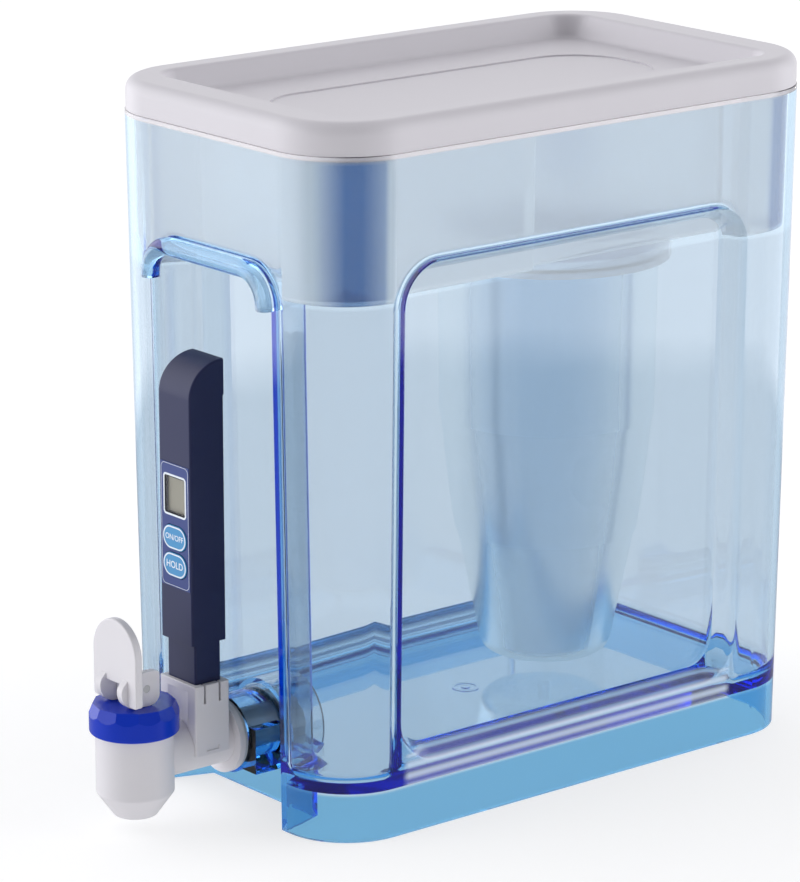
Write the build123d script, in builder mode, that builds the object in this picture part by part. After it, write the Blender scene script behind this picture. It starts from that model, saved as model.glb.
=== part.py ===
from build123d import *
import os
from math import atan2, cos, degrees, radians, sin

# Gravity water filter with a tap, a hanging reservoir and a docked water meter.
# Millimetres, +Z up, the tap faces -Y. The origin is on the table, under the middle of the
# space that the whole object takes up.

# ---- tank ----
tank_length = 250.7  # front to back at the rim
tank_width = 148.2
tank_height = 263.0
rim_corner = 32.0  # corner radius at the rim
draft = 4.0  # how far each wall comes in from the rim to the foot
wall = 2.6
floor_top = 22.0  # height of the tank's floor above the table
floor_thickness = 3.0
floor_round = 6.0  # fillet between the floor and the walls
inner_round = 5.0  # upright edges on the inside
gate_mark_d = 11.0  # round mark in the middle of the floor
gate_mark_line = 1.0
gate_dot_d = 3.6
gate_mark_h = 0.4

# ---- panel recess in each long side ----
recess_front = 90.0  # from the tank's middle to the front edge of the recess
recess_back = 82.0
recess_low = 28.0
recess_high = 222.0
recess_depth = 8.0
recess_slope = 30.0  # degrees that its edges lean
recess_corner = 17.0
edge_round = 1.6  # fillet where a recess meets the outer face

# ---- arched recess in the front, open to the table ----
arch_width = 74.4
arch_top = 218.0
arch_depth = 18.3
arch_slope = 20.0
arch_corner = 14.0
hood_d = 7.2  # round bead over the arch
hood_width = 71.8  # between the middles of the bead's legs
hood_low = 204.3  # where the bead's legs end
hood_corner = 13.0
hood_proud = 1.85  # bead's centre in front of the face

# ---- tap: boss, body, collar, valve, handle ----
tap_out = 37.65  # tap axis in front of the rim
stem_z = 28.5  # height of the tap's horizontal stem
stem_d = 20.8
shank_d = 16.4
water_bore = 10.4
boss_d = 30.6
boss_block_w = 37.4
boss_block_h = 18.0
boss_block_z = 25.7
boss_face = 1.85  # boss face behind the tank's foot line
boss_neck = 13.5  # length of the wide front stretch of the boss block
guard_d = 37.0  # sleeve round the nut, inside the tank
guard_length = 15.0
guard_wall = 2.0
washer_d = 28.0
washer_t = 1.5
inner_washer_t = 2.0
nut_d = 26.0
nut_t = 7.0
nut_lugs = 8
nut_notch_d = 3.4
flange_d = 29.0
flange_t = 2.5
shank_spare = 3.0  # shank past the nut
barrel_d = 30.0
barrel_low = 6.0
cone_top = 15.5
outlet_d = 16.4
outlet_round = 1.5
outlet_bore = 11.0
seat_z = 15.0
shoulder_z = 41.0
thread_d = 28.4
thread_top = 48.2
chamber_d = 24.4
collar_d = 34.4
collar_low = 39.5
collar_top = 51.0
collar_facets = 12
collar_facet_h = 4.6
collar_top_d = 30.6
collar_plate = 2.3
collar_foot_round = 1.0
pivot_z = 58.0
pin_d = 3.0
valve_d = 8.0
valve_core_d = 6.0  # its lower part, inside the silicone cup
valve_low = 19.0
valve_head_d = 8.4
valve_head_low = 52.5
cup_foot_d = 18.0
cup_neck_d = 11.0
cup_rim_z = 35.5
cup_rim_t = 4.0
paddle_w = 27.6
paddle_t = 3.3
paddle_front = 8.8  # paddle's face in front of the pivot
paddle_top = 85.2
leg_low = 52.6
lobe_gap = 10.8  # free width between the lobes
lobe_t = 3.1
lobe_front = 11.6
lobe_back = 6.0
lobe_low = 51.2
lobe_high = 64.5
lobe_nose_z = 60.0
lobe_back_round = 4.5
lobe_top_round = 2.0
lobe_nose_round = 4.0
lobe_front_round = 7.0
notch_top = 60.6
leg_round = 1.5
paddle_round = 0.6

# ---- meter and its dock ----
meter_out = 9.05  # meter's middle in front of the rim
meter_w = 19.8
meter_t = 16.0
meter_seam = 166.9  # joint between the case and the cap
meter_top = 181.0
neck_w = 17.7
neck_t = 12.0
neck_top = 70.7
neck_low = 41.8
meter_skin = 1.5
meter_round = 0.8  # upright edges of the case
panel_w = 17.8
panel_low = 91.9
panel_high = 140.6
panel_t = 0.6
panel_proud = 0.15
window_w = 13.0
window_low = 120.6
window_high = 135.6
window_t = 0.5
window_ledge = 0.6  # how far the case reaches under the window's edge
button_w = 14.6
button_h = 9.4
on_button_z = 111.6
hold_button_z = 100.8
button_proud = 0.45
button_round = 0.22
button_bar_t = 1.0  # bar behind the case that keeps the button in
button_bar_h = 8.0
button_stroke = 0.5
cap_skin = 2.8
spigot_h = 6.0
display_w = 15.0
display_h = 18.0
display_t = 1.8
display_gap = 0.2
strip_h = 2.0
key_pad_t = 1.0
key_pad_rim = 5.0  # how far the key pad runs past the buttons' middles
board_w = 15.5
board_t = 1.2
board_low = 73.0
board_high = 158.0
cell_d = 11.6
cell_t = 5.4
cell_gap = 1.2
cells_z = 146.0
tray_t = 7.5
tray_wall = 1.2
contact_w = 4.0
contact_t = 0.3
probe_d = 1.4
probe_pitch = 5.0
probe_low = 43.0
probe_high = 80.0
carrier_low = 47.0
carrier_high = 61.0
dock_w = 22.8
dock_t = 16.2
dock_low = 26.8
dock_high = 54.8
dock_relief = 1.0  # hollow in the dock's face beside the collar
slit_w = 1.0
slit_depth = 7.5
slit_pitch = 7.0
dock_round = 0.8
dock_top_round = 0.4
relief_top = 52.0
latch_w = 6.0  # shallow slot low in each side of the dock
latch_h = 1.7
latch_z = 29.0
latch_depth = 0.4

# ---- reservoir ----
reservoir_depth = 55.0  # below the tank's rim
reservoir_wall = 2.0
reservoir_gap = 1.0  # between the tank's wall and the reservoir
reservoir_flange_t = 1.6
reservoir_round = 2.0
chamber_step = 2.5  # how far the sides step in beside the filter
chamber_front = -18.0  # where that step starts, from the tank's middle
well_d = 98.0
well_depth = 12.0  # below the rest of the reservoir

# ---- lid ----
lid_rise = 14.2  # lid's top above the tank's rim
lid_inset = 0.3  # lid's side inside the tank's rim
lid_joint = 0.3  # dark gap between the lid and the flange
lid_border_side = 13.0  # raised border along the long sides
lid_border_end = 17.5  # and across the ends
lid_round = 5.0
lid_panel_drop = 9.1  # sunken panel below the border
lid_panel_corner = 12.0
lid_wall_run = 4.0  # how far the border's inner wall leans in
lid_edge_round = 2.0
lid_foot_round = 2.5
lid_skin = 2.2
lid_field_w = 59.0  # shallow field in the middle of the panel
lid_field_l = 172.0
lid_field_corner = 25.0
lid_field_depth = 0.6
lid_key_drop = 6.0  # the ring under the lid that finds the reservoir's mouth
lid_key_t = 2.0
lid_key_gap = 0.6
lid_key_corner = 8.0

# ---- filter cartridge ----
filter_out = 42.0  # filter axis behind the tank's middle
filter_wall = 1.8
filter_foot_gap = 9.0  # between its foot and the tank's floor
filter_round = 7.0
filter_nub_d = 7.0
filter_nub_drop = 4.0
mouth_d = 88.0
upper_step_drop = 71.4  # from the top of the rim
lower_step_drop = 119.4
cup_upper_r = 43.2  # just above the upper step
cup_mid_r = 42.5  # just below it
cup_belly_r = 40.1  # half way down to the lower step
cup_lower_r = 36.0  # just below the lower step
cup_step = 0.8
cup_foot_r = 25.7
outlet_holes = 8
outlet_hole_d = 3.0
outlet_ring_r = 13.0
inlet_slots = 16
inlet_slot_l = 18.0
inlet_slot_w = 3.0
inlet_ring_r = 30.0
grip_l = 34.0
grip_t = 6.0
grip_h = 9.0
grip_round = 1.5
filter_rim_d = 92.6
filter_rim_t = 3.0
seal_t = 1.4
screen_t = 0.8
membrane_t = 2.0
resin_drop = 52.4  # from the top of the rim
carbon_drop = 24.4
foam_t = 8.0
filter_cap_t = 3.0

# ---- clearances ----
free_gap = 0.3  # between pieces that move past each other
touch_gap = 0.1  # round a piece that is clamped or snapped in place
run_gap = 0.05  # running fit, radial
bed_gap = 0.2  # round the filter's fillings
pin_slack = 0.02  # round a pin in the piece that holds it

# ---- places worked out from the sizes ----
collar_r = collar_d / 2
tank_mid_y = (tap_out + collar_r) / 2
front_y = tank_mid_y - tank_length / 2
tap_y = front_y - tap_out
meter_y = front_y - meter_out
filter_y = tank_mid_y + filter_out
lean = degrees(atan2(draft, tank_height))
past = 40.0  # how far cutting tools run past what they cut
reservoir_low = tank_height - reservoir_depth
well_low = reservoir_low - well_depth
flange_top = tank_height + reservoir_flange_t
lid_low = flange_top + lid_joint
lid_top = tank_height + lid_rise
lid_panel_z = lid_top - lid_panel_drop

tank_mid = Plane((0, tank_mid_y, 0))
tap_mid = Plane((0, tap_y, 0))
meter_mid = Plane((0, meter_y, 0))
filter_mid = Plane((0, filter_y, 0))
tap_axis = Axis((0, tap_y, 0), (0, 0, 1))
filter_axis = Axis((0, filter_y, 0), (0, 0, 1))

lean_cos, lean_sin = cos(radians(lean)), sin(radians(lean))
flank = Plane((tank_width / 2 - draft, tank_mid_y, 0), x_dir=(0, 1, 0), z_dir=(lean_cos, 0, -lean_sin))
face = Plane((0, front_y + draft, 0), x_dir=(1, 0, 0), z_dir=(0, -lean_cos, -lean_sin))


def lean_at(height):
    """How far the outer wall has come in at a height."""
    return draft * (1 - height / tank_height)


def outline(height, inset):
    """The tank's outline at a height, moved inwards."""
    pull = lean_at(height) + inset
    with BuildSketch(tank_mid.offset(height)) as ring:
        RectangleRounded(tank_width - 2 * pull, tank_length - 2 * pull, rim_corner - pull)
    return ring.sketch


def spread(skin, slope):
    """How much wider a sloped recess gets when a skin is laid round it."""
    return skin * (1 - sin(radians(slope))) / cos(radians(slope))


def slope_run(depth, slope):
    """How far a sloped edge runs sideways over the depth of its recess."""
    return depth * sin(radians(slope)) / cos(radians(slope))


def flank_block(skin, low, high):
    """The space of the two side recesses, with a skin of material round it."""
    step = slope_run(recess_depth, recess_slope) - spread(skin, recess_slope)
    with BuildPart() as block:
        with BuildSketch(flank.offset(-recess_depth - skin)):
            with Locations(((recess_back - recess_front) / 2, (low + high) / 2)):
                RectangleRounded(
                    recess_front + recess_back - 2 * step, high - low - 2 * step, recess_corner - step
                )
        extrude(amount=recess_depth + skin + past, taper=-recess_slope)
        mirror(about=Plane.YZ)
    return block.part


def arch_block(skin, high):
    """The space of the front recess, with a skin of material round it."""
    step = slope_run(arch_depth, arch_slope) - spread(skin, arch_slope)
    with BuildPart() as block:
        with BuildSketch(face.offset(-arch_depth - skin)):
            with Locations((0, (high - step - past) / 2)):
                RectangleRounded(arch_width - 2 * step, high - step + past, arch_corner - step)
        extrude(amount=arch_depth + skin + past, taper=-arch_slope)
    return block.part


def upright(y):
    """The XZ plane at a place along Y, seen from the front."""
    return Plane.XZ.offset(-y)


def upright_edges(part):
    """The straight edges of a part that stand up."""
    return part.edges().filter_by(lambda e: e.geom_type == GeomType.LINE and abs((e % 0).Z) > 0.9)


def tap_disc(y, diameter):
    """A disc round the axis of the tap's horizontal stem."""
    with BuildSketch(upright(y)) as disc:
        with Locations((0, stem_z)):
            Circle(diameter / 2)
    return disc.sketch


# ---------------------------------------------------------------- tank
foot_y = front_y + draft
boss_y = foot_y + boss_face
recess_wall_y = foot_y + arch_depth
nut_seat_y = recess_wall_y + wall - lean_at(0) + lean_at(stem_z + guard_d / 2)

with BuildPart() as cavity:
    extrude(outline(floor_top, wall), amount=tank_height - floor_top + past, taper=-lean)
    add(flank_block(wall, -past, recess_high), mode=Mode.SUBTRACT)
    add(arch_block(wall, arch_top), mode=Mode.SUBTRACT)
    fillet(upright_edges(cavity), inner_round)
    fillet(cavity.faces().sort_by(Axis.Z)[0].edges(), floor_round)

with BuildPart() as skirt_space:
    extrude(outline(0, wall), amount=floor_top - floor_thickness, taper=-lean)
    add(arch_block(wall, arch_top), mode=Mode.SUBTRACT)

with BuildPart() as tank:
    extrude(outline(0, 0), amount=tank_height, taper=-lean)
    add(flank_block(0, recess_low, recess_high), mode=Mode.SUBTRACT)
    for flank_face in (tank.faces().sort_by(Axis.X)[-1], tank.faces().sort_by(Axis.X)[0]):
        fillet(flank_face.inner_wires().edges(), edge_round)
    add(arch_block(0, arch_top), mode=Mode.SUBTRACT)
    add(cavity.part, mode=Mode.SUBTRACT)
    add(skirt_space.part, mode=Mode.SUBTRACT)
    # hood: a round bead along the arch's edge
    with BuildLine(face.offset(hood_proud)):
        half = hood_width / 2
        bead = FilletPolyline(
            (-half, hood_low), (-half, arch_top), (half, arch_top), (half, hood_low), radius=hood_corner
        )
    with BuildSketch(Plane(bead @ 0, z_dir=bead % 0)):
        Circle(hood_d / 2)
    sweep()
    # boss for the tap, outside
    extrude(tap_disc(boss_y, boss_d), amount=boss_y - recess_wall_y - wall / 2)
    with BuildSketch(upright(boss_y)):
        with Locations((0, boss_block_z)):
            Rectangle(boss_block_w, boss_block_h)
    extrude(amount=-boss_neck)
    # sleeve round the nut, inside: its lower half is a sump under the floor, closed at the end
    extrude(tap_disc(nut_seat_y, guard_d), amount=-guard_length)
    extrude(tap_disc(nut_seat_y, guard_d - 2 * guard_wall), amount=-guard_length, mode=Mode.SUBTRACT)
    with BuildSketch(upright(nut_seat_y + guard_length)):
        with Locations((0, stem_z)):
            Circle(guard_d / 2)
        with Locations((0, floor_top + guard_d / 2)):
            Rectangle(guard_d, guard_d, mode=Mode.SUBTRACT)
    extrude(amount=-guard_wall)
    # round mark in the middle of the floor
    with BuildSketch(tank_mid.offset(floor_top)):
        Circle(gate_mark_d / 2)
        Circle(gate_mark_d / 2 - gate_mark_line, mode=Mode.SUBTRACT)
        Circle(gate_dot_d / 2)
    extrude(amount=gate_mark_h)
    # the tap's hole
    extrude(tap_disc(boss_y, shank_d + 2 * free_gap), amount=boss_y - nut_seat_y, mode=Mode.SUBTRACT)
tank.part.label = "tank"

# ---------------------------------------------------------------- reservoir
# Its walls follow the inside of the tank, so the recesses' skins run on up its whole height.
reservoir_skin = wall + reservoir_gap
chamber_mid_y = (recess_back + chamber_front) / 2


def bowl(low, high, skin):
    """A filled bowl between two heights, a skin inside the tank's outer face and its recesses."""
    chamber_x = tank_width / 2 - draft - recess_depth - skin - chamber_step
    with BuildPart() as form:
        extrude(outline(low, skin), amount=high - low, taper=-lean)
        add(flank_block(skin, -past, tank_height + 2 * past), mode=Mode.SUBTRACT)
        add(arch_block(skin, tank_height + 2 * past), mode=Mode.SUBTRACT)
        with BuildSketch(tank_mid.offset(low)):
            with Locations((chamber_x + past / 2, chamber_mid_y), (-chamber_x - past / 2, chamber_mid_y)):
                Rectangle(past, recess_back - chamber_front)
        extrude(amount=high - low, mode=Mode.SUBTRACT)
    return form.part


with BuildPart() as reservoir:
    add(bowl(reservoir_low, tank_height, reservoir_skin))
    fillet(upright_edges(reservoir), reservoir_round)
    fillet(reservoir.faces().sort_by(Axis.Z)[0].edges(), reservoir_round)
    extrude(outline(tank_height, 0), amount=reservoir_flange_t)
    with BuildSketch(filter_mid.offset(well_low)):
        Circle(well_d / 2)
    extrude(amount=reservoir_low - well_low + reservoir_round)
    add(
        bowl(reservoir_low + reservoir_wall, flange_top + past, reservoir_skin + reservoir_wall),
        mode=Mode.SUBTRACT,
    )
    with BuildSketch(filter_mid.offset(well_low + reservoir_wall)):
        Circle(well_d / 2 - reservoir_wall)
    extrude(amount=past, mode=Mode.SUBTRACT)
    with BuildSketch(filter_mid.offset(well_low)):
        Circle(mouth_d / 2 + free_gap)
    extrude(amount=past, mode=Mode.SUBTRACT)
reservoir.part.label = "reservoir"

# ---------------------------------------------------------------- lid
lid_w = tank_width - 2 * lid_inset
lid_l = tank_length - 2 * lid_inset
lid_corner = rim_corner - lid_inset
lid_taper = degrees(atan2(lid_wall_run, lid_panel_drop))
key_w = tank_width - 2 * (draft + recess_depth + reservoir_skin + reservoir_wall + chamber_step + lid_key_gap)
key_front = foot_y + arch_depth + reservoir_skin + reservoir_wall + lid_key_gap
key_back = tank_mid_y + tank_length / 2 - draft - reservoir_skin - reservoir_wall - lid_key_gap


def lid_panel(grow):
    """Mouth of the lid's sunken panel, made larger by a skin."""
    with BuildSketch(tank_mid.offset(lid_top)) as panel:
        RectangleRounded(
            lid_w - 2 * lid_border_side + 2 * grow,
            lid_l - 2 * lid_border_end + 2 * grow,
            lid_panel_corner + grow,
        )
    return panel.sketch


with BuildPart() as lid_hollow:
    with BuildSketch(tank_mid.offset(lid_low)):
        RectangleRounded(lid_w - 2 * lid_skin, lid_l - 2 * lid_skin, lid_corner - lid_skin)
    extrude(amount=lid_top - lid_skin - lid_low)
    fillet(lid_hollow.faces().sort_by(Axis.Z)[-1].edges(), lid_round - lid_skin)
    extrude(lid_panel(lid_skin), amount=-lid_panel_drop - lid_skin, taper=lid_taper, mode=Mode.SUBTRACT)

with BuildPart() as lid:
    with BuildSketch(tank_mid.offset(lid_low)):
        RectangleRounded(lid_w, lid_l, lid_corner)
    extrude(amount=lid_top - lid_low)
    fillet(lid.faces().sort_by(Axis.Z)[-1].edges(), lid_round)
    extrude(lid_panel(0), amount=-lid_panel_drop, taper=lid_taper, mode=Mode.SUBTRACT)
    fillet(lid.faces().sort_by(Axis.Z)[-1].inner_wires().edges(), lid_edge_round)
    fillet(lid.faces().filter_by(Axis.Z).sort_by(Axis.Z)[-2].edges(), lid_foot_round)
    with BuildSketch(tank_mid.offset(lid_panel_z)):
        RectangleRounded(lid_field_w, lid_field_l, lid_field_corner)
    extrude(amount=-lid_field_depth, mode=Mode.SUBTRACT)
    add(lid_hollow.part, mode=Mode.SUBTRACT)
    with BuildSketch(tank_mid.offset(lid_panel_z - lid_skin)):
        with Locations((0, (key_front + key_back) / 2 - tank_mid_y)):
            RectangleRounded(key_w, key_back - key_front, lid_key_corner)
            RectangleRounded(
                key_w - 2 * lid_key_t,
                key_back - key_front - 2 * lid_key_t,
                lid_key_corner - lid_key_t,
                mode=Mode.SUBTRACT,
            )
    extrude(amount=lid_low - lid_key_drop - lid_panel_z + lid_skin)
lid.part.label = "lid"

# ---------------------------------------------------------------- filter cartridge
mouth_r = mouth_d / 2
rim_r = filter_rim_d / 2
seat_top = well_low + reservoir_wall
rim_low = seat_top + seal_t
rim_top = rim_low + filter_rim_t
filter_low = floor_top + filter_foot_gap
upper_step_z = rim_top - upper_step_drop
lower_step_z = rim_top - lower_step_drop
belly_z = (upper_step_z + lower_step_z) / 2


def filter_profile(inset):
    """Half section of the stepped cup, moved inwards by a wall."""
    with BuildSketch(upright(filter_y)) as half_cup:
        with BuildLine():
            Polyline(
                (cup_lower_r - inset, lower_step_z + inset),
                (cup_foot_r - inset, filter_low + inset),
                (0, filter_low + inset),
                (0, rim_top),
                (mouth_r - inset, rim_top),
                (cup_upper_r - inset, upper_step_z + inset),
                (cup_mid_r - inset, upper_step_z + inset),
            )
            belly = ThreePointArc(
                (cup_mid_r - inset, upper_step_z + inset),
                (cup_belly_r - inset, belly_z + inset),
                (cup_lower_r + cup_step - inset, lower_step_z + inset),
            )
            Line(belly @ 1, (cup_lower_r - inset, lower_step_z + inset))
        make_face()
        foot_corner = half_cup.vertices().group_by(Axis.Y)[0].sort_by(Axis.X)[-1]
        fillet(foot_corner, filter_round - inset)
    return half_cup.sketch


def filter_layer(label, low, high):
    """A filling of the cup between two heights."""
    with BuildPart() as layer:
        revolve(filter_profile(filter_wall + bed_gap), axis=filter_axis)
        with BuildSketch(filter_mid.offset(low)):
            Circle(well_d)
        extrude(amount=high - low, mode=Mode.INTERSECT)
    layer.part.label = label
    return layer.part


with BuildPart() as filter_housing:
    revolve(filter_profile(0), axis=filter_axis)
    revolve(filter_profile(filter_wall), axis=filter_axis, mode=Mode.SUBTRACT)
    with BuildSketch(filter_mid.offset(rim_low)):
        Circle(rim_r)
        Circle(mouth_r - filter_wall, mode=Mode.SUBTRACT)
    extrude(amount=filter_rim_t)
    with BuildSketch(filter_mid.offset(filter_low - filter_nub_drop)):
        Circle(filter_nub_d / 2)
    extrude(amount=filter_nub_drop + filter_wall)
    with BuildSketch(filter_mid.offset(filter_low)):
        with PolarLocations(outlet_ring_r, outlet_holes):
            Circle(outlet_hole_d / 2)
    extrude(amount=filter_wall, mode=Mode.SUBTRACT)
filter_housing.part.label = "filter_housing"

with BuildPart() as filter_seal:
    with BuildSketch(filter_mid.offset(seat_top)):
        Circle(rim_r)
        Circle(mouth_r + free_gap, mode=Mode.SUBTRACT)
    extrude(amount=seal_t)
filter_seal.part.label = "filter_seal"

with BuildPart() as filter_cap:
    with BuildSketch(filter_mid.offset(rim_top)):
        Circle(rim_r)
        with PolarLocations(inlet_ring_r, inlet_slots):
            SlotOverall(inlet_slot_l, inlet_slot_w, mode=Mode.SUBTRACT)
    extrude(amount=filter_cap_t)
    with BuildSketch(filter_mid.offset(rim_top + filter_cap_t)):
        RectangleRounded(grip_l, grip_t, grip_t / 2 - touch_gap)
    extrude(amount=grip_h)
    fillet(filter_cap.faces().sort_by(Axis.Z)[-1].edges(), grip_round)
filter_cap.part.label = "filter_cap"

bed_low = filter_low + filter_wall + bed_gap
resin_top = rim_top - resin_drop
carbon_top = rim_top - carbon_drop
membrane_top = bed_low + membrane_t
fine_screen_top = membrane_top + bed_gap + screen_t
foam_low = carbon_top + bed_gap
coarse_screen_top = rim_top - bed_gap
filter_layers = [
    filter_layer("filter_membrane", bed_low, membrane_top),
    filter_layer("filter_fine_screen", membrane_top + bed_gap, fine_screen_top),
    filter_layer("filter_resin", fine_screen_top + bed_gap, resin_top),
    filter_layer("filter_carbon", resin_top + bed_gap, carbon_top),
    filter_layer("filter_foam", foam_low, foam_low + foam_t),
    filter_layer("filter_coarse_screen", coarse_screen_top - screen_t, coarse_screen_top),
]

# ---------------------------------------------------------------- tap
flange_y = boss_y - washer_t - flange_t
shank_end_y = nut_seat_y + inner_washer_t + nut_t + shank_spare
shank_hole_d = shank_d + 2 * touch_gap

with BuildPart() as tap_body:
    with BuildSketch(upright(tap_y)):
        with BuildLine():
            Polyline(
                (0, barrel_low),
                (outlet_d / 2, barrel_low),
                (barrel_d / 2, cone_top),
                (barrel_d / 2, shoulder_z),
                (thread_d / 2, shoulder_z),
                (thread_d / 2, thread_top),
                (0, thread_top),
                (0, barrel_low),
            )
        make_face()
    revolve(axis=tap_axis)
    fillet(tap_body.edges().filter_by(GeomType.CIRCLE).sort_by(Axis.Z)[:2], outlet_round)
    extrude(tap_disc(tap_y, stem_d), amount=tap_y - flange_y)
    extrude(tap_disc(flange_y, flange_d), amount=-flange_t)
    extrude(tap_disc(flange_y, shank_d), amount=flange_y - shank_end_y)
    with BuildSketch(tap_mid.offset(seat_z)):
        Circle(chamber_d / 2)
    extrude(amount=past, mode=Mode.SUBTRACT)
    with BuildSketch(tap_mid):
        Circle(outlet_bore / 2)
    extrude(amount=seat_z, mode=Mode.SUBTRACT)
    extrude(tap_disc(tap_y, water_bore), amount=tap_y - shank_end_y, mode=Mode.SUBTRACT)
tap_body.part.label = "tap_body"

with BuildPart() as tap_outer_washer:
    extrude(tap_disc(boss_y, washer_d), amount=washer_t)
    extrude(tap_disc(boss_y, shank_hole_d), amount=washer_t, mode=Mode.SUBTRACT)
tap_outer_washer.part.label = "tap_outer_washer"

with BuildPart() as tap_inner_washer:
    extrude(tap_disc(nut_seat_y, nut_d), amount=-inner_washer_t)
    extrude(tap_disc(nut_seat_y, shank_hole_d), amount=-inner_washer_t, mode=Mode.SUBTRACT)
tap_inner_washer.part.label = "tap_inner_washer"

with BuildPart() as tap_nut:
    with BuildSketch(upright(nut_seat_y + inner_washer_t)):
        with Locations((0, stem_z)):
            Circle(nut_d / 2)
            with PolarLocations(nut_d / 2, nut_lugs):
                Circle(nut_notch_d / 2, mode=Mode.SUBTRACT)
            Circle(shank_hole_d / 2, mode=Mode.SUBTRACT)
    extrude(amount=-nut_t)
tap_nut.part.label = "tap_nut"

facet_lean = degrees(atan2(collar_r - collar_top_d / 2, collar_facet_h))
collar_height = collar_top - collar_low

with BuildPart() as tap_collar:
    with BuildSketch(tap_mid.offset(collar_low)):
        Circle(collar_r)
    extrude(amount=collar_height)
    fillet(tap_collar.edges().filter_by(GeomType.CIRCLE).sort_by(Axis.Z)[0], collar_foot_round)
    with BuildSketch(tap_mid.offset(collar_top)):
        RegularPolygon(collar_top_d / 2, collar_facets, major_radius=False)
    extrude(amount=-collar_height, taper=-facet_lean, mode=Mode.INTERSECT)
    with BuildSketch(tap_mid.offset(collar_low)):
        Circle(barrel_d / 2 + touch_gap)
    extrude(amount=shoulder_z + touch_gap - collar_low, mode=Mode.SUBTRACT)
    with BuildSketch(tap_mid.offset(collar_low)):
        Circle(thread_d / 2 + touch_gap)
    extrude(amount=collar_height - collar_plate, mode=Mode.SUBTRACT)
    with BuildSketch(tap_mid.offset(collar_low)):
        Circle(valve_d / 2 + free_gap)
    extrude(amount=collar_height, mode=Mode.SUBTRACT)
tap_collar.part.label = "tap_collar"

cup_top_z = cup_rim_z + cup_rim_t

with BuildPart() as valve_stem:
    with BuildSketch(tap_mid.offset(valve_low)):
        Circle(valve_core_d / 2)
    extrude(amount=cup_top_z - valve_low)
    with BuildSketch(tap_mid.offset(cup_top_z)):
        Circle(valve_d / 2)
    extrude(amount=pivot_z - cup_top_z)
    with BuildSketch(Plane.YZ.offset(lobe_gap / 2 - free_gap)):
        with Locations((tap_y, pivot_z)):
            Circle(valve_head_d / 2)
        with Locations((tap_y, (pivot_z + valve_head_low) / 2)):
            Rectangle(valve_head_d, pivot_z - valve_head_low)
    extrude(amount=2 * free_gap - lobe_gap)
    with BuildSketch(Plane.YZ.offset(lobe_gap)):
        with Locations((tap_y, pivot_z)):
            Circle(pin_d / 2 + pin_slack)
    extrude(amount=-2 * lobe_gap, mode=Mode.SUBTRACT)
valve_stem.part.label = "valve_stem"

with BuildPart() as seat_cup:
    with BuildSketch(upright(tap_y)):
        with BuildLine():
            Polyline(
                (0, seat_z),
                (cup_foot_d / 2, seat_z),
                (cup_foot_d / 2, valve_low),
                (cup_neck_d / 2, valve_low + cup_rim_t),
                (cup_neck_d / 2, cup_rim_z),
                (chamber_d / 2 - free_gap, cup_rim_z),
                (chamber_d / 2 - free_gap, cup_top_z),
                (0, cup_top_z),
                (0, seat_z),
            )
        make_face()
    revolve(axis=tap_axis)
    with BuildSketch(tap_mid.offset(valve_low)):
        Circle(valve_core_d / 2 + pin_slack)
    extrude(amount=past, mode=Mode.SUBTRACT)
seat_cup.part.label = "seat_cup"

with BuildPart() as handle_pin:
    with BuildSketch(Plane.YZ.offset(-lobe_gap / 2 - lobe_t)):
        with Locations((tap_y, pivot_z)):
            Circle(pin_d / 2)
    extrude(amount=lobe_gap + 2 * lobe_t)
handle_pin.part.label = "handle_pin"

paddle_half = paddle_w / 2
paddle_spring = paddle_top - paddle_half

with BuildPart() as tap_handle:
    with BuildSketch(upright(tap_y - paddle_front)):
        with BuildLine():
            Polyline(
                (paddle_half, paddle_spring),
                (paddle_half, leg_low),
                (-paddle_half, leg_low),
                (-paddle_half, paddle_spring),
            )
            ThreePointArc((-paddle_half, paddle_spring), (0, paddle_top), (paddle_half, paddle_spring))
        make_face()
    extrude(amount=-paddle_t)
    fillet(tap_handle.faces().sort_by(Axis.Z)[0].edges().filter_by(Axis.Y), leg_round)
    fillet(tap_handle.faces().filter_by(Axis.Y).edges(), paddle_round)
    with BuildSketch(upright(tap_y - paddle_front)):
        with Locations((0, (notch_top + leg_low) / 2)):
            Rectangle(lobe_gap, notch_top - leg_low)
    extrude(amount=-paddle_t, mode=Mode.SUBTRACT)
    with BuildSketch(Plane.YZ.offset(lobe_gap / 2)):
        with BuildLine():
            FilletPolyline(
                (tap_y + lobe_back, lobe_low),
                (tap_y + lobe_back, lobe_high),
                (tap_y - paddle_front + paddle_t / 2, lobe_high),
                (tap_y - lobe_front, lobe_nose_z),
                (tap_y - lobe_front, lobe_low),
                radius=[lobe_back_round, lobe_top_round, paddle_round, lobe_nose_round, lobe_front_round],
                close=True,
            )
        make_face()
    extrude(amount=lobe_t)
    mirror(about=Plane.YZ)
    with BuildSketch(Plane.YZ.offset(paddle_w)):
        with Locations((tap_y, pivot_z)):
            Circle(pin_d / 2 + run_gap)
    extrude(amount=-2 * paddle_w, mode=Mode.SUBTRACT)
tap_handle.part.label = "tap_handle"

# ---------------------------------------------------------------- meter dock
dock_front = meter_y - dock_t / 2

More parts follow.
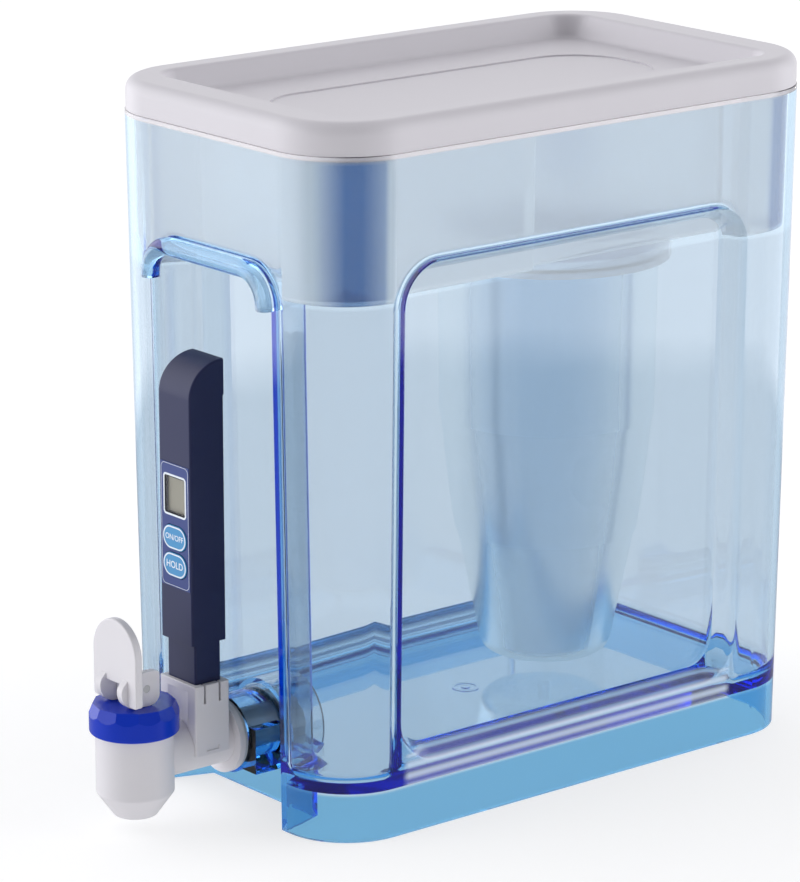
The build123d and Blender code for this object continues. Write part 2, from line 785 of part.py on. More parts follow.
with BuildPart() as meter_dock:
    with BuildSketch(meter_mid.offset(dock_low)):
        RectangleRounded(dock_w, dock_t, dock_round)
    extrude(amount=dock_high - dock_low)
    fillet(meter_dock.faces().sort_by(Axis.Z)[-1].edges(), dock_top_round)
    # saddle over the tap's stem
    extrude(tap_disc(dock_front, stem_d + 2 * touch_gap), amount=-dock_t, mode=Mode.SUBTRACT)
    # socket for the meter's neck
    with BuildSketch(meter_mid.offset(neck_low - free_gap)):
        RectangleRounded(neck_w + 2 * free_gap, neck_t + 2 * free_gap, meter_round + free_gap)
    extrude(amount=past, mode=Mode.SUBTRACT)
    # hollow that clears the collar
    with BuildSketch(tap_mid.offset(dock_low)):
        Circle(dock_front + dock_relief - tap_y)
    extrude(amount=relief_top - dock_low, mode=Mode.SUBTRACT)
    # slits that let the sides give
    with BuildSketch(Plane.YZ.offset(-dock_w / 2)):
        with Locations((meter_y, dock_high - slit_depth / 2)):
            with GridLocations(slit_pitch, slit_depth, 2, 1):
                Rectangle(slit_w, slit_depth)
    extrude(amount=dock_w, mode=Mode.SUBTRACT)
    with BuildSketch(Plane.YZ.offset(dock_w / 2)):
        with Locations((meter_y, latch_z)):
            Rectangle(latch_w, latch_h)
    extrude(amount=-latch_depth, mode=Mode.SUBTRACT)
    with BuildSketch(Plane.YZ.offset(-dock_w / 2)):
        with Locations((meter_y, latch_z)):
            Rectangle(latch_w, latch_h)
    extrude(amount=latch_depth, mode=Mode.SUBTRACT)
meter_dock.part.label = "meter_dock"

# ---------------------------------------------------------------- meter
meter_front = meter_y - meter_t / 2
panel_face = meter_front - panel_proud
panel_back = panel_face + panel_t
case_inner_w = meter_w - 2 * meter_skin
case_inner_t = meter_t - 2 * meter_skin
window_z = (window_low + window_high) / 2
bar_y = meter_front + meter_skin + touch_gap
key_pad_y = bar_y + button_bar_t + button_stroke + touch_gap
board_y = key_pad_y + key_pad_t
display_y = meter_front + meter_skin + display_gap
tray_y = board_y + board_t + touch_gap
cell_y = tray_y + tray_wall
cell_pitch = cell_d + cell_gap
tray_h = cell_pitch + cell_d + 2 * tray_wall
probe_y = board_y + board_t + probe_d / 2


def pills(y, grow):
    """The outlines of both buttons on an upright plane, made larger by a gap."""
    with BuildSketch(upright(y)) as both:
        with Locations((0, on_button_z), (0, hold_button_z)):
            SlotOverall(button_w + 2 * grow, button_h + 2 * grow)
    return both.sketch


def slab(y, width, low, high):
    """A flat rectangle on an upright plane, between two heights."""
    with BuildSketch(upright(y)) as sheet:
        with Locations((0, (low + high) / 2)):
            Rectangle(width, high - low)
    return sheet.sketch


with BuildPart() as meter_body:
    with BuildSketch(meter_mid.offset(neck_top)):
        RectangleRounded(meter_w, meter_t, meter_round)
    extrude(amount=meter_seam - neck_top)
    with BuildSketch(meter_mid.offset(neck_low)):
        RectangleRounded(neck_w, neck_t, meter_round)
    extrude(amount=neck_top - neck_low)
    with BuildSketch(meter_mid.offset(neck_top + meter_skin)):
        Rectangle(case_inner_w, case_inner_t)
    extrude(amount=meter_seam - neck_top, mode=Mode.SUBTRACT)
    with BuildSketch(meter_mid.offset(neck_low)):
        Rectangle(neck_w - 2 * meter_skin, neck_t - 2 * meter_skin)
    extrude(amount=neck_top + meter_skin - neck_low, mode=Mode.SUBTRACT)
    extrude(
        slab(meter_front, panel_w + 2 * touch_gap, panel_low - touch_gap, panel_high + touch_gap),
        amount=panel_proud - panel_t,
        mode=Mode.SUBTRACT,
    )
    extrude(
        slab(meter_front, window_w - 2 * window_ledge, window_low + window_ledge, window_high - window_ledge),
        amount=-meter_skin,
        mode=Mode.SUBTRACT,
    )
    extrude(pills(meter_front, free_gap), amount=-meter_skin, mode=Mode.SUBTRACT)
meter_body.part.label = "meter_body"


def dome(skin):
    """Side view of the cap: a quarter ellipse that rises from the front to the back."""
    back = meter_y + meter_t / 2 - skin
    front = meter_y - meter_t / 2 + skin
    with BuildSketch(Plane.YZ.offset(skin - meter_w / 2)) as side:
        with BuildLine():
            EllipticalCenterArc(
                (back, meter_seam), back - front, meter_top - meter_seam - skin, start_angle=90, arc_size=90
            )
            Polyline((front, meter_seam), (back, meter_seam), (back, meter_top - skin))
        make_face()
    return side.sketch


with BuildPart() as meter_cap:
    extrude(dome(0), amount=meter_w)
    fillet(meter_cap.faces().filter_by(Axis.X).edges().filter_by(GeomType.ELLIPSE), meter_round)
    extrude(dome(cap_skin), amount=meter_w - 2 * cap_skin, mode=Mode.SUBTRACT)
    with BuildSketch(meter_mid.offset(meter_seam)):
        Rectangle(case_inner_w - 2 * touch_gap, case_inner_t - 2 * touch_gap)
        Rectangle(meter_w - 2 * cap_skin, meter_t - 2 * cap_skin, mode=Mode.SUBTRACT)
    extrude(amount=-spigot_h)
meter_cap.part.label = "meter_cap"

with BuildPart() as meter_panel:
    extrude(slab(panel_face, panel_w, panel_low, panel_high), amount=-panel_t)
    extrude(
        slab(panel_face, window_w + 2 * touch_gap, window_low - touch_gap, window_high + touch_gap),
        amount=-panel_t,
        mode=Mode.SUBTRACT,
    )
    extrude(pills(panel_face, free_gap), amount=-panel_t, mode=Mode.SUBTRACT)
meter_panel.part.label = "meter_panel"

with BuildPart() as meter_window:
    extrude(slab(panel_back, window_w, window_low, window_high), amount=window_t)
meter_window.part.label = "meter_window"


def meter_button(label, z):
    """A pill-shaped button with the bar behind the case that keeps it in."""
    with BuildPart() as button:
        with BuildSketch(upright(panel_face - button_proud)):
            with Locations((0, z)):
                SlotOverall(button_w, button_h)
        extrude(amount=panel_face - button_proud - bar_y)
        fillet(button.faces().sort_by(Axis.Y)[0].edges(), button_round)
        extrude(
            slab(bar_y, case_inner_w - 2 * free_gap, z - button_bar_h / 2, z + button_bar_h / 2),
            amount=-button_bar_t,
        )
    button.part.label = label
    return button.part


with BuildPart() as meter_key_pad:
    extrude(
        slab(key_pad_y, board_w, hold_button_z - key_pad_rim, on_button_z + key_pad_rim),
        amount=-key_pad_t,
    )
meter_key_pad.part.label = "meter_key_pad"

with BuildPart() as meter_display:
    extrude(slab(display_y, display_w, window_z - display_h / 2, window_z + display_h / 2), amount=-display_t)
meter_display.part.label = "meter_display"

with BuildPart() as display_strip:
    strip_y = display_y + display_t
    extrude(
        slab(strip_y, window_w, window_z - display_h / 2, window_z - display_h / 2 + strip_h),
        amount=strip_y - board_y,
    )
display_strip.part.label = "display_strip"

with BuildPart() as meter_board:
    extrude(slab(board_y, board_w, board_low, board_high), amount=-board_t)
meter_board.part.label = "meter_board"

with BuildPart() as cell_tray:
    extrude(
        slab(tray_y, case_inner_w - 2 * free_gap, cells_z - tray_h / 2, cells_z + tray_h / 2),
        amount=-tray_t,
    )
    with BuildSketch(upright(cell_y)):
        with Locations((0, cells_z)):
            with GridLocations(cell_pitch, cell_pitch, 1, 2):
                Circle(cell_d / 2 + touch_gap)
    extrude(amount=-tray_t, mode=Mode.SUBTRACT)
    extrude(
        slab(cell_y + cell_t, contact_w + 2 * touch_gap, cells_z - cell_pitch, cells_z + cell_pitch),
        amount=-tray_t,
        mode=Mode.SUBTRACT,
    )
cell_tray.part.label = "cell_tray"


def button_cell(label, z):
    """A round cell lying with its axis along the meter's depth."""
    with BuildPart() as cell:
        with BuildSketch(upright(cell_y)):
            with Locations((0, z)):
                Circle(cell_d / 2)
        extrude(amount=-cell_t)
        fillet(cell.faces().filter_by(Axis.Y).edges(), contact_t)
    cell.part.label = label
    return cell.part


with BuildPart() as cell_contacts:
    extrude(
        slab(cell_y + cell_t, contact_w, cells_z - cell_pitch + contact_t, cells_z + cell_pitch - contact_t),
        amount=-contact_t,
    )
cell_contacts.part.label = "cell_contacts"

with BuildPart() as probe_carrier:
    with BuildSketch(meter_mid.offset(carrier_low)):
        Rectangle(neck_w - 2 * meter_skin - 2 * touch_gap, neck_t - 2 * meter_skin - 2 * touch_gap)
    extrude(amount=carrier_high - carrier_low)
    with BuildSketch(Plane((0, probe_y, carrier_low))):
        with GridLocations(probe_pitch, probe_pitch, 2, 1):
            Circle(probe_d / 2 + pin_slack)
    extrude(amount=carrier_high - carrier_low, mode=Mode.SUBTRACT)
probe_carrier.part.label = "probe_carrier"


def probe_pin(label, x):
    """One of the two sensing pins, soldered to the back of the board."""
    with BuildPart() as pin:
        with BuildSketch(Plane((x, probe_y, probe_low))):
            Circle(probe_d / 2)
        extrude(amount=probe_high - probe_low)
    pin.part.label = label
    return pin.part


# ---------------------------------------------------------------- files
builders = [
    tank,
    reservoir,
    lid,
    filter_housing,
    filter_seal,
    filter_cap,
    tap_body,
    tap_outer_washer,
    tap_inner_washer,
    tap_nut,
    tap_collar,
    valve_stem,
    seat_cup,
    handle_pin,
    tap_handle,
    meter_dock,
    meter_body,
    meter_cap,
    meter_panel,
    meter_window,
    meter_key_pad,
    meter_display,
    display_strip,
    meter_board,
    cell_tray,
    cell_contacts,
    probe_carrier,
]
pieces = [builder.part for builder in builders] + filter_layers
pieces += [meter_button("meter_on_button", on_button_z), meter_button("meter_hold_button", hold_button_z)]
pieces += [button_cell("cell_lower", cells_z - cell_pitch / 2)]
pieces += [button_cell("cell_upper", cells_z + cell_pitch / 2)]
pieces += [probe_pin("probe_pin_left", -probe_pitch / 2), probe_pin("probe_pin_right", probe_pitch / 2)]

os.makedirs("parts", exist_ok=True)
for piece in pieces:
    export_step(piece, f"parts/{piece.label}.step")
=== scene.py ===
import math

import bmesh
import bpy
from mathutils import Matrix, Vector


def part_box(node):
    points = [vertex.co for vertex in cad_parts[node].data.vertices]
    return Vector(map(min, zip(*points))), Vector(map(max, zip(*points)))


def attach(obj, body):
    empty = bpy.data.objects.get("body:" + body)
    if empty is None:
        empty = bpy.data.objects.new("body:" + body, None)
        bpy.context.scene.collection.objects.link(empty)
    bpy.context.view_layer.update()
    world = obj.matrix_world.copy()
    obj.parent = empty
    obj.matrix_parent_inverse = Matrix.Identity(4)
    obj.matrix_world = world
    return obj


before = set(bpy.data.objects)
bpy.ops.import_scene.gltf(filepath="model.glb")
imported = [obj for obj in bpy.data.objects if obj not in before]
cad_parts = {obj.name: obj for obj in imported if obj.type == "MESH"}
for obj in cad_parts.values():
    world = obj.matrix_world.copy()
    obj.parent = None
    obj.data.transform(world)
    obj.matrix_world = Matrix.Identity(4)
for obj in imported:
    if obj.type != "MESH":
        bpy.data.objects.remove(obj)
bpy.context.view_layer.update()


# ---- Tank -------------------------------------------------------------------
# The tank is one injection moulding in clear styrene-acrylonitrile with a little blue dye, which deepens
# where the eye looks along the plastic. It stands on its own skirt and carries every other piece.
# The wall beside the reservoir is tinted less, and the ledge under each side recess carries a painted
# reflection: pale stripes that stand for bright reflections along it.
class Wire:
    """A node's output. Arithmetic on wires adds the Math nodes that do it."""

    def __init__(self, nodes, socket):
        self.nodes = nodes
        self.socket = socket

    def maths(self, operation, other=0.0):
        return self.nodes.add("ShaderNodeMath", {"operation": operation}, {0: self, 1: other})

    def __add__(self, other):
        return self.maths("ADD", other)

    def __sub__(self, other):
        return self.maths("SUBTRACT", other)

    def __mul__(self, other):
        return self.maths("MULTIPLY", other)

    def __rsub__(self, other):
        return self * -1 + other

    __radd__ = __add__
    __rmul__ = __mul__


class Nodes:
    """The nodes of one material, or of the world, added and joined by name."""

    def __init__(self, tree):
        self.tree = tree

    def add(self, kind, settings, sockets, output=0):
        node = self.tree.nodes.new(kind)
        for name, value in settings.items():
            setattr(node, name, value)
        self.join(node, sockets)
        return Wire(self, node.outputs[output])

    def join(self, node, sockets):
        for name, value in sockets.items():
            if isinstance(value, Wire):
                self.tree.links.new(value.socket, node.inputs[name])
            else:
                node.inputs[name].default_value = value

    def place(self):
        return self.add("ShaderNodeTexCoord", {}, {}, output="Object")

    def along(self, axis):
        """How far a point of the surface lies along X, Y or Z, in metres."""
        return self.add("ShaderNodeSeparateXYZ", {}, {0: self.place()}, output=axis)

    def clouds(self, size, detail=2.0):
        """Smooth noise from 0 to 1, with lumps about as wide as size, in metres."""
        return self.add(
            "ShaderNodeTexNoise", {}, {"Vector": self.place(), "Scale": 1 / size, "Detail": detail}
        )

    def blend(self, amount, first, second):
        """From the first colour to the second, as amount goes from 0 to 1."""
        return self.add("ShaderNodeMix", {"data_type": "RGBA"}, {0: amount, 6: first, 7: second}, output=2)

    def relief(self, height, depth):
        """The normal of a surface that rises by height times depth, in metres."""
        return self.add("ShaderNodeBump", {}, {"Height": height, "Distance": depth, "Strength": 1.0})

    def ramp(self, value, low, high):
        """0 below low, 1 above high and an even slope between."""
        return self.add("ShaderNodeMapRange", {}, {"Value": value, "From Min": low, "From Max": high})

    def over(self, material, shader, factor, layer):
        """Lays a second shader over the first, by factor from 0 to 1."""
        mixed = self.add("ShaderNodeMixShader", {}, {0: factor, 2: layer})
        self.tree.links.new(shader.outputs[0], mixed.socket.node.inputs[1])
        self.join(material.node_tree.nodes["Material Output"], {"Surface": mixed})


def paint(red, green, blue):
    """A colour read off a 0 to 255 screen scale, as light."""
    levels = [channel / 255 for channel in (red, green, blue)]
    linear = [((level + 0.055) / 1.055) ** 2.4 if level > 0.04 else level / 12.92 for level in levels]
    return (*linear, 1.0)


def new_finish(name, constants):
    """A material, its nodes and its shader, with the constants set on the shader's own sockets."""
    material = bpy.data.materials.new(name)
    material.use_nodes = True
    nodes = Nodes(material.node_tree)
    shader = material.node_tree.nodes["Principled BSDF"]
    nodes.join(shader, constants)
    return material, nodes, shader


def dress(material, *names):
    """Gives the named pieces of the frame their finish."""
    for name in names:
        for material_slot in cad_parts[name].material_slots:
            material_slot.material = material


wall_tint = (0.85, 0.84, 0.85, 1.0)
collar_tint = (0.98, 0.975, 0.975, 1.0)  # beside the reservoir
floor_tint = (0.80, 0.90, 0.97, 1.0)
skirt_tint = (0.27, 0.60, 0.84, 1.0)
dye = (0.03, 0.60, 0.943, 1.0)
dye_density = 70.0
tank_ior = 1.56
skirt_top = 0.0190
floor_top = 0.0225
tint_change = 0.001  # height over which one tint turns into the next
floor_change = 0.003
reservoir_depth = 0.055
tank_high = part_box("tank")[1]
chamber_low = tank_high.z - reservoir_depth

tank_blue, tank_nodes, tank_shader = new_finish(
    "tank_clear_blue", {"Transmission Weight": 1.0, "IOR": tank_ior}
)
tank_z = tank_nodes.along("Z")
foot_tint = tank_nodes.blend(
    tank_nodes.ramp(tank_z, skirt_top - tint_change, skirt_top), skirt_tint, floor_tint
)
side_tint = tank_nodes.blend(
    tank_nodes.ramp(tank_z, chamber_low - tint_change, chamber_low), wall_tint, collar_tint
)
above_floor = tank_nodes.ramp(tank_z, floor_top, floor_top + floor_change)
tank_nodes.join(tank_shader, {
    "Base Color": tank_nodes.blend(above_floor, foot_tint, side_tint),
    "Roughness": tank_nodes.clouds(0.06, 3.0) * 0.02 + 0.01,
    "Normal": tank_nodes.relief(tank_nodes.clouds(0.035, 1.0), 0.00005),
})
tank_dye = tank_nodes.add("ShaderNodeVolumeAbsorption", {}, {"Color": dye, "Density": dye_density})
tank_nodes.join(tank_blue.node_tree.nodes["Material Output"], {"Volume": tank_dye})

reservoir_low, reservoir_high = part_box("reservoir")
middle_y = (reservoir_low.y + reservoir_high.y) / 2
lip_inner_x = tank_high.x - 0.0125
lip_front = middle_y - 0.086
lip_back = middle_y + 0.078
lip_low = 0.0190
lip_high = 0.0310
lip_end = 0.003  # length over which the stripes fade at each end
reflection_stripe_pitch = 0.0044
reflection_stripe_mean = 0.5
reflection_stripe_swing = 0.3
tank_side = tank_nodes.along("X").maths("ABSOLUTE")
tank_y = tank_nodes.along("Y")
# The ledge under each side recess, masked for the painted reflection.
lip_reflection_mask = tank_nodes.ramp(tank_side, lip_inner_x - 0.0005, lip_inner_x)
lip_reflection_mask = lip_reflection_mask * tank_nodes.ramp(tank_z, lip_low, lip_low + 0.0010)
lip_reflection_mask = lip_reflection_mask * (1 - tank_nodes.ramp(tank_z, lip_high, lip_high + 0.0015))
lip_reflection_mask = lip_reflection_mask * tank_nodes.ramp(tank_y, lip_front - lip_end, lip_front)
lip_reflection_mask = lip_reflection_mask * (1 - tank_nodes.ramp(tank_y, lip_back, lip_back + lip_end))
# Painted reflection: pale stripes across the ledge stand for the bright reflections seen along it.
painted_reflection_stripes = (tank_z * (2 * math.pi / reflection_stripe_pitch)).maths("SINE") * reflection_stripe_swing + reflection_stripe_mean
painted_reflection_shader = tank_nodes.add(
    "ShaderNodeBsdfPrincipled", {}, {"Base Color": paint(216, 232, 248), "Roughness": 0.2, "IOR": tank_ior}
)
tank_nodes.over(tank_blue, tank_shader, lip_reflection_mask * painted_reflection_stripes, painted_reflection_shader)
dress(tank_blue, "tank")


# ---- Tap --------------------------------------------------------------------
# White acetal mouldings: the barrel with its cone outlet and stem, the paddle that lifts the valve and the
# nut inside. The blue collar screws onto the barrel and holds the silicone seat cup down on its rim.
def moulded(name, colour, roughness, grain, depth, constants=()):
    """Moulded plastic: the mould's fine grain, and a colour and a gloss that are never quite even."""
    material, nodes, shader = new_finish(name, dict(constants))
    uneven = nodes.clouds(0.03, 3.0)
    nodes.join(shader, {
        "Base Color": nodes.blend(uneven, [channel * 0.96 for channel in colour], colour),
        "Roughness": uneven * 0.08 + roughness,
        "Normal": nodes.relief(nodes.clouds(grain, 2.0), depth),
    })
    return material


tap_white = moulded("tap_white", paint(226, 224, 229), 0.34, 0.0006, 0.000006, {"Coat Weight": 0.08})
collar_blue = moulded("collar_blue", paint(0, 50, 190), 0.2, 0.004, 0.00002, {"Specular IOR Level": 0.3})
stem_white = moulded("valve_stem_white", paint(215, 214, 216), 0.4, 0.0006, 0.00001)
seal_white = moulded("seal_silicone", paint(205, 208, 212), 0.55, 0.0008, 0.00001, {"Subsurface Weight": 0.2})
pin_steel = moulded("pin_steel", paint(180, 180, 182), 0.28, 0.0004, 0.000003, {"Metallic": 1.0})
dress(tap_white, "tap_body", "tap_handle", "tap_nut", "meter_dock")
dress(collar_blue, "tap_collar")
dress(stem_white, "valve_stem")
seal_grey = moulded("seal_grey", paint(96, 100, 108), 0.6, 0.0008, 0.00001)
dress(seal_white, "seat_cup", "tap_outer_washer")
dress(seal_grey, "tap_inner_washer")
dress(pin_steel, "handle_pin")


# ---- Meter ------------------------------------------------------------------
# A pen-shaped water meter that stands in the dock: a dark navy case and cap with a fine spark-eroded grain,
# a blue printed front panel, a window over the display and two rubber-backed buttons.
case_navy = moulded("meter_navy", paint(28, 36, 80), 0.42, 0.0005, 0.000012, {"Specular IOR Level": 0.4})
panel_blue = moulded("panel_blue", paint(30, 56, 128), 0.35, 0.0006, 0.000004)
button_blue = moulded("button_blue", paint(62, 146, 202), 0.34, 0.0008, 0.00001)
print_white = moulded("print_white", paint(232, 240, 250), 0.4, 0.0006, 0.000002)
dress(case_navy, "meter_body", "meter_cap")
dress(panel_blue, "meter_panel")
dress(button_blue, "meter_on_button", "meter_hold_button")

window_clear, window_nodes, window_shader = new_finish(
    "window_clear", {"Transmission Weight": 1.0, "IOR": 1.49, "Base Color": (0.95, 0.95, 0.93, 1.0)}
)
window_nodes.join(window_shader, {"Roughness": window_nodes.clouds(0.004) * 0.04})
dress(window_clear, "meter_window")
display_grey = moulded("display_grey", paint(205, 202, 188), 0.25, 0.0004, 0.000002)
dress(display_grey, "meter_display")


def rounded_loop(width, height, radius, steps=8):
    """Points round a rectangle with rounded corners, about the origin."""
    points = []
    for turn, (sx, sz) in enumerate([(1, 1), (-1, 1), (-1, -1), (1, -1)]):
        for step in range(steps + 1):
            angle = (turn + step / steps) * math.pi / 2
            points.append((
                sx * (width / 2 - radius) + radius * math.cos(angle),
                sz * (height / 2 - radius) + radius * math.sin(angle),
            ))
    return points


def printed_ring(name, width, height, radius, line, face_y, z, body):
    """A raised line of white ink round a rounded rectangle, on a face that looks along -Y."""
    ink = 0.00003
    mesh = bmesh.new()
    rings = []
    for inset, lift in ((0, 0), (0, ink), (line, ink), (line, 0)):
        loop = rounded_loop(width - 2 * inset, height - 2 * inset, radius - inset)
        rings.append([mesh.verts.new((x, face_y - lift, z + up)) for x, up in loop])
    for first, second in zip(rings, rings[1:] + rings[:1]):
        for here in range(len(first)):
            after = (here + 1) % len(first)
            mesh.faces.new((first[here], first[after], second[after], second[here]))
    bmesh.ops.recalc_face_normals(mesh, faces=mesh.faces)
    data = bpy.data.meshes.new(name)
    mesh.to_mesh(data)
    mesh.free()
    ring = bpy.data.objects.new(name, data)
    bpy.context.scene.collection.objects.link(ring)
    data.materials.append(print_white)
    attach(ring, body)
    return ring


def printed_word(name, word, size, face_y, z, body):
    """A word in white ink, centred on a button's face."""
    ink = 0.00004
    text = bpy.data.curves.new(name, "FONT")
    text.body = word
    text.size = size
    text.extrude = ink / 2
    text.offset = size * 0.012
    text.align_x = "CENTER"
    text.align_y = "CENTER"
    draft = bpy.data.objects.new(name + "_draft", text)
    bpy.context.scene.collection.objects.link(draft)
    bpy.context.view_layer.update()
    data = bpy.data.meshes.new_from_object(draft.evaluated_get(bpy.context.evaluated_depsgraph_get()))
    bpy.data.objects.remove(draft)
    for vertex in data.vertices:
        across, up, out = vertex.co
        vertex.co = (across, face_y - ink / 2 - out, z + up)
    data.materials.clear()
    data.materials.append(print_white)
    label = bpy.data.objects.new(name, data)
    bpy.context.scene.collection.objects.link(label)
    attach(label, body)
    return label


panel_low, panel_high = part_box("meter_panel")
window_low, window_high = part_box("meter_window")
window_z = (window_low.z + window_high.z) / 2
printed_ring("window_frame_print", 0.0143, 0.0163, 0.0016, 0.0008, panel_low.y, window_z, "meter")
printed_ring(
    "panel_outline_print", 0.0170, panel_high.z - panel_low.z - 0.0008, 0.0022, 0.00018, panel_low.y,
    (panel_low.z + panel_high.z) / 2, "meter",
)
on_button_z = 0.1116
hold_button_z = 0.1008
for node, body, word, size, middle in (
    ("meter_on_button", "on_button", "ON/OFF", 0.0031, on_button_z),
    ("meter_hold_button", "hold_button", "HOLD", 0.0038, hold_button_z),
):
    face_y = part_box(node)[0].y
    printed_ring(body + "_outline_print", 0.0141, 0.0089, 0.00445, 0.0006, face_y, middle, body)
    printed_word(body + "_word", word, size, face_y, middle, body)

board_green = moulded("board_green", paint(26, 84, 52), 0.4, 0.002, 0.00002)
cell_steel = moulded("cell_steel", paint(190, 190, 194), 0.22, 0.0008, 0.000004, {"Metallic": 1.0})
contact_metal = moulded("contact_metal", paint(205, 190, 150), 0.3, 0.0006, 0.000004, {"Metallic": 1.0})
probe_metal = moulded("probe_metal", paint(196, 196, 200), 0.2, 0.0005, 0.000003, {"Metallic": 1.0})
tray_black = moulded("tray_black", paint(30, 30, 33), 0.5, 0.0006, 0.00001)
key_rubber = moulded("key_rubber", paint(128, 130, 134), 0.7, 0.0008, 0.00001)
zebra_rubber = moulded("zebra_strip", paint(70, 70, 74), 0.6, 0.0004, 0.00001)
dress(board_green, "meter_board")
dress(cell_steel, "cell_lower", "cell_upper")
dress(contact_metal, "cell_contacts")
dress(probe_metal, "probe_pin_left", "probe_pin_right")
dress(tray_black, "cell_tray", "probe_carrier")
dress(key_rubber, "meter_key_pad")
dress(zebra_rubber, "display_strip")


# ---- Filter cartridge ---------------------------------------------------------
# A stepped cup in milky polypropylene that turns into the reservoir's well and hangs in the tank. It is
# opaque here: a faint glow stands in for the light inside the plastic, and its edges have a satin sheen.
def milky_plastic_with_painted_glow(name, colour, clearness, roughness):
    """Milky plastic with a faint painted glow for the light inside it, and a satin sheen that grows towards
    its edges.
    """
    material, nodes, shader = new_finish(name, {
        "Transmission Weight": clearness, "IOR": 1.5, "Sheen Weight": 1.0, "Sheen Roughness": 0.4,
        "Sheen Tint": (0.85, 0.94, 1.0, 1.0), "Coat Weight": 1.0, "Coat Roughness": 0.15,
    })
    uneven = nodes.clouds(0.04, 2.0)
    nodes.join(shader, {
        "Base Color": nodes.blend(uneven, [channel * 0.97 for channel in colour], colour),
        "Roughness": uneven * 0.06 + roughness,
        "Normal": nodes.relief(nodes.clouds(0.002, 2.0), 0.00002),
        # Painted glow: the emission stands in for light scattered inside the milky plastic.
        "Emission Color": nodes.blend(uneven, (0.55, 0.78, 1.0, 1.0), (0.58, 0.81, 1.0, 1.0)),
        "Emission Strength": 0.30,
    })
    satin = nodes.add("ShaderNodeBsdfAnisotropic", {}, {"Color": (0.97, 1.0, 1.0, 1.0), "Roughness": 0.25})
    edge_on = nodes.add("ShaderNodeLayerWeight", {}, {"Blend": 0.5}, output="Facing")
    nodes.over(material, shader, nodes.ramp(edge_on, 0.04, 0.4) * 0.9, satin)
    return material


filter_milk = milky_plastic_with_painted_glow("filter_milky", paint(206, 226, 248), 0.0, 0.25)
filter_blue = moulded("filter_blue", paint(70, 110, 190), 0.35, 0.0008, 0.00001)
black_rubber = moulded("seal_black", paint(34, 34, 36), 0.6, 0.0008, 0.00001)
screen_white = moulded("screen_white", paint(222, 226, 230), 0.5, 0.0006, 0.00003)
foam_grey = moulded("foam_grey", paint(120, 126, 134), 0.9, 0.0012, 0.0002)
carbon_black = moulded("carbon_bed", paint(64, 84, 112), 0.85, 0.0014, 0.0003)
resin_blue = moulded("resin_bed", paint(120, 150, 196), 0.6, 0.0010, 0.0003)
membrane_white = moulded("membrane_white", paint(226, 228, 230), 0.7, 0.0006, 0.00002)
dress(filter_milk, "filter_housing")
dress(filter_blue, "filter_cap")
dress(black_rubber, "filter_seal")
dress(screen_white, "filter_coarse_screen", "filter_fine_screen")
dress(foam_grey, "filter_foam")
dress(carbon_black, "filter_carbon")
dress(resin_blue, "filter_resin")
dress(membrane_white, "filter_membrane")


# ---- Reservoir ----------------------------------------------------------------
# The upper bowl, in milky white plastic, with a painted glow that stands in for light scattered inside it,
# and painted shade, a deeper blue, in its rounded corners.
# It hangs from its flange on the tank's rim, and the filter hangs from its well.
reservoir_milk, milk_nodes, milk_shader = new_finish(
    "reservoir_milky", {"Transmission Weight": 0.6, "IOR": 1.5}
)
turn_radius = 0.030  # radius of the rounded corners
turn_x = reservoir_high.x - turn_radius
turn_y = (reservoir_high.y - reservoir_low.y) / 2 - turn_radius
milk_x = milk_nodes.along("X").maths("ABSOLUTE")
milk_y = (milk_nodes.along("Y") - middle_y).maths("ABSOLUTE")
milk_z = milk_nodes.along("Z")
# Painted shade: a deeper blue laid over all four rounded corners, where the bowl would look darker.
round_the_corner = (milk_y - turn_y).maths("ARCTAN2", milk_x - turn_x)
painted_corner_shade = milk_nodes.ramp(round_the_corner, math.radians(0), math.radians(5)) * 0.6
painted_corner_shade = painted_corner_shade + milk_nodes.ramp(round_the_corner, math.radians(8), math.radians(24)) * 0.4
painted_corner_shade = painted_corner_shade * (1 - milk_nodes.ramp(round_the_corner, math.radians(38), math.radians(66)))
above_rim = milk_nodes.ramp(milk_z, tank_high.z - 0.002, tank_high.z)
side_milk_and_shade = milk_nodes.blend(painted_corner_shade, paint(232, 236, 240), paint(98, 152, 222))
milk_nodes.join(milk_shader, {
    "Base Color": milk_nodes.blend(above_rim, side_milk_and_shade, paint(236, 232, 236)),
    # Painted glow over the flat sides, none in the painted corner shade, standing in for light scattered in
    # the milky plastic.
    "Emission Color": milk_nodes.blend(painted_corner_shade, (0.118, 0.118, 0.120, 1.0), (0.0, 0.0, 0.0, 1.0)),
    "Emission Strength": 1.0,
    "Roughness": milk_nodes.clouds(0.05) * 0.05 + 0.2,
    "Normal": milk_nodes.relief(milk_nodes.clouds(0.03, 1.0), 0.00004),
})
dress(reservoir_milk, "reservoir")


# ---- Lid ----------------------------------------------------------------------
# An opaque white moulding, polished on the border and satin on the sunken field, here given one satin finish
# all over. It lies on the reservoir's flange and lifts off for filling.
lid_white = moulded("lid_white", paint(216, 213, 219), 0.34, 0.0008, 0.000008)
dress(lid_white, "lid")


# ---- Studio -------------------------------------------------------------------
# A pale floor that gives some light itself, and a white surround as the only lamp. The surround is
# brighter to the left and the right of the camera, and darker behind it, overhead and below the table.
floor_mesh = bpy.data.meshes.new("floor")
floor_shape = bmesh.new()
bmesh.ops.create_circle(floor_shape, cap_ends=True, segments=96, radius=6.0)
floor_shape.to_mesh(floor_mesh)
floor_shape.free()
floor = bpy.data.objects.new("floor", floor_mesh)
bpy.context.scene.collection.objects.link(floor)
floor_white, floor_nodes, floor_shader = new_finish(
    "floor_white", {"Roughness": 0.9, "Specular IOR Level": 0.1}
)
floor_nodes.join(floor_shader, {
    "Base Color": floor_nodes.blend(
        floor_nodes.clouds(0.5), (0.44, 0.44, 0.45, 1.0), (0.46, 0.46, 0.46, 1.0)
    ),
    "Emission Color": (1.0, 1.0, 1.0, 1.0),
    "Emission Strength": 0.66,
})
floor_mesh.materials.append(floor_white)
floor.visible_glossy = False

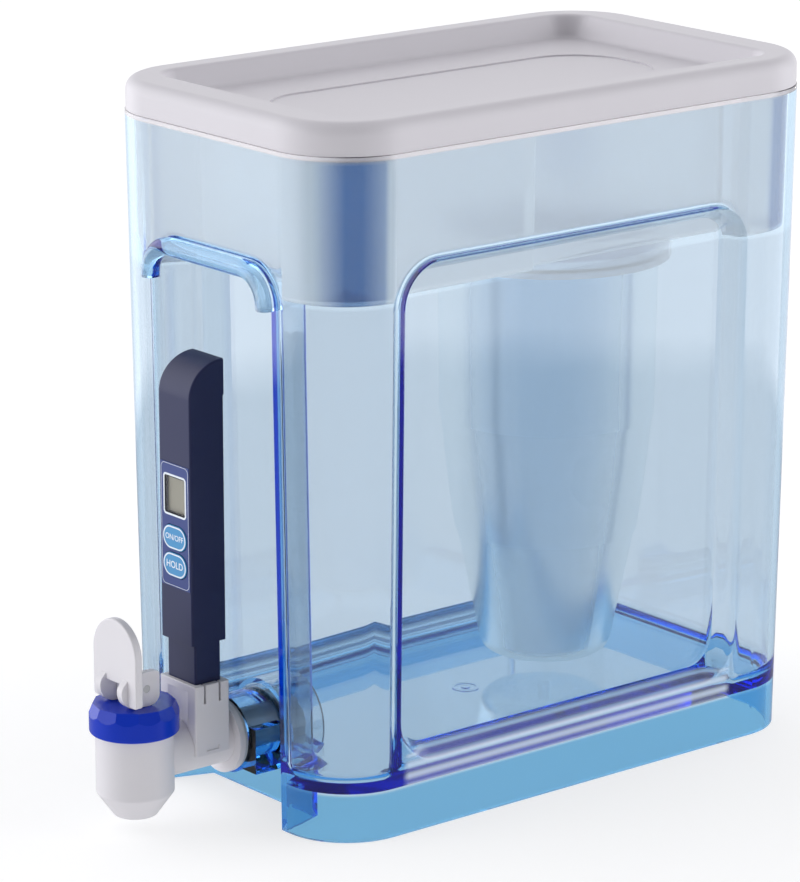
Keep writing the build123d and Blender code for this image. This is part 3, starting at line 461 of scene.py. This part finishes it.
world = bpy.data.worlds.new("studio")
bpy.context.scene.world = world
world.use_nodes = True
sky = Nodes(world.node_tree)
direction = sky.add("ShaderNodeTexCoord", {}, {}, output="Generated")
height = sky.add("ShaderNodeSeparateXYZ", {}, {0: direction}, output="Z")
level = sky.add("ShaderNodeVectorMath", {"operation": "MULTIPLY"}, {0: direction, 1: (1.0, 1.0, 0.0)})
level = sky.add("ShaderNodeVectorMath", {"operation": "NORMALIZE"}, {0: level})
camera_place = Vector((1.2576, -1.0302, 0.5769))
camera_target = Vector((0, -0.0056, 0.13053))
camera_turn = math.atan2(camera_place.y, camera_place.x)


def towards(turn, inner, outer):
    """1 within inner degrees of a compass direction, given from the camera's, and 0 past outer degrees."""
    angle = camera_turn + math.radians(turn)
    aim = (math.cos(angle), math.sin(angle), 0.0)
    facing = sky.add("ShaderNodeVectorMath", {"operation": "DOT_PRODUCT"}, {0: level, 1: aim}, output="Value")
    return sky.ramp(facing, math.cos(math.radians(outer)), math.cos(math.radians(inner)))


low_enough = 1 - sky.ramp(height, 0.5, 0.75)
gap = towards(0, 50, 68) * (1 - sky.ramp(height, 0.75, 0.95))
left_box = towards(-102, 26, 52) * low_enough
right_box = towards(96, 26, 29) * low_enough
overhead = sky.ramp(height, 0.55, 0.8)
upper = 0.95 - gap * 0.65 + left_box * 1.6 + right_box * 1.4 - overhead * 0.3
above_table = sky.ramp(height, -0.272, -0.262)
brightness = above_table * upper + (1 - above_table) * 0.4
sky.join(world.node_tree.nodes["Background"], {"Color": (0.98, 0.98, 1.0, 1.0), "Strength": brightness})

lens = bpy.data.cameras.new("camera")
lens.sensor_fit = "VERTICAL"
lens.sensor_height = 36.0
lens.lens = 175.1
lens.clip_start = 0.05
camera = bpy.data.objects.new("camera", lens)
camera.location = camera_place
camera.rotation_euler = (camera_target - camera_place).to_track_quat("-Z", "Y").to_euler()
bpy.context.scene.collection.objects.link(camera)
bpy.context.scene.camera = camera
bpy.context.scene.view_settings.view_transform = "Standard"
bounces = 96  # light runs a long way inside the clear tank
bpy.context.scene.cycles.max_bounces = bounces
bpy.context.scene.cycles.transmission_bounces = bounces
bpy.context.scene.cycles.glossy_bounces = bounces
